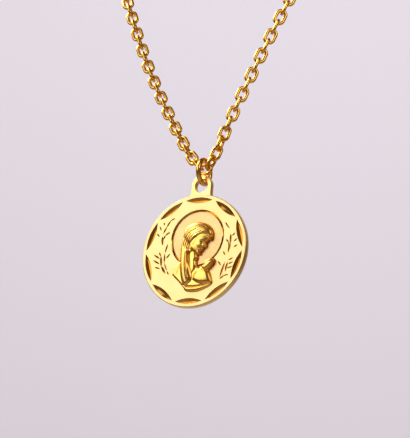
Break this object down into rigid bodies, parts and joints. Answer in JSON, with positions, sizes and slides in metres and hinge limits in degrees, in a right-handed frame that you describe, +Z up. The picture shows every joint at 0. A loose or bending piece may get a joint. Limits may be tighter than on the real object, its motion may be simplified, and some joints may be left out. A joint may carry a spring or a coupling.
{
  "type": "religious medal pendant on a necklace chain",
  "caption": "Round gold religious medal with a praying veiled figure in relief, diamond cuts round its border, hung by a jump ring from an oval-link cable chain necklace",
  "frame": {"origin": "The middle of the clasp, where the chain lies on the nape", "axes": "+Z up as the necklace is worn, the medal's face looks along -Y, and +X is to the right seen from the front"},
  "size_m": [0.1151, 0.1281, 0.1582],
  "materials": {
    "satin_gold": "satin 18 carat yellow gold with bright cuts",
    "bright_gold": "polished 18 carat yellow gold",
    "chain_gold": "diamond-cut polished 18 carat yellow gold",
    "clasp_gold": "polished 18 carat yellow gold"
  },
  "bodies": {
    "necklace": {"chain_left": "chain_gold", "chain_right": "chain_gold", "clasp": "clasp_gold"},
    "ring": {"jump_ring": "bright_gold"},
    "medal": {"medal": "satin_gold"}
  },
  "joints": [
    {"name": "ring_swing", "type": "hinge", "parent": "necklace", "child": "ring", "pos_m": [0, -0.124, -0.133], "axis": [1, 0, 0], "range_deg": [-75, 75]},
    {"name": "medal_swing", "type": "hinge", "parent": "ring", "child": "medal", "pos_m": [0, -0.124, -0.13576], "axis": [0, 1, 0], "range_deg": [-60, 60]}
  ]
}
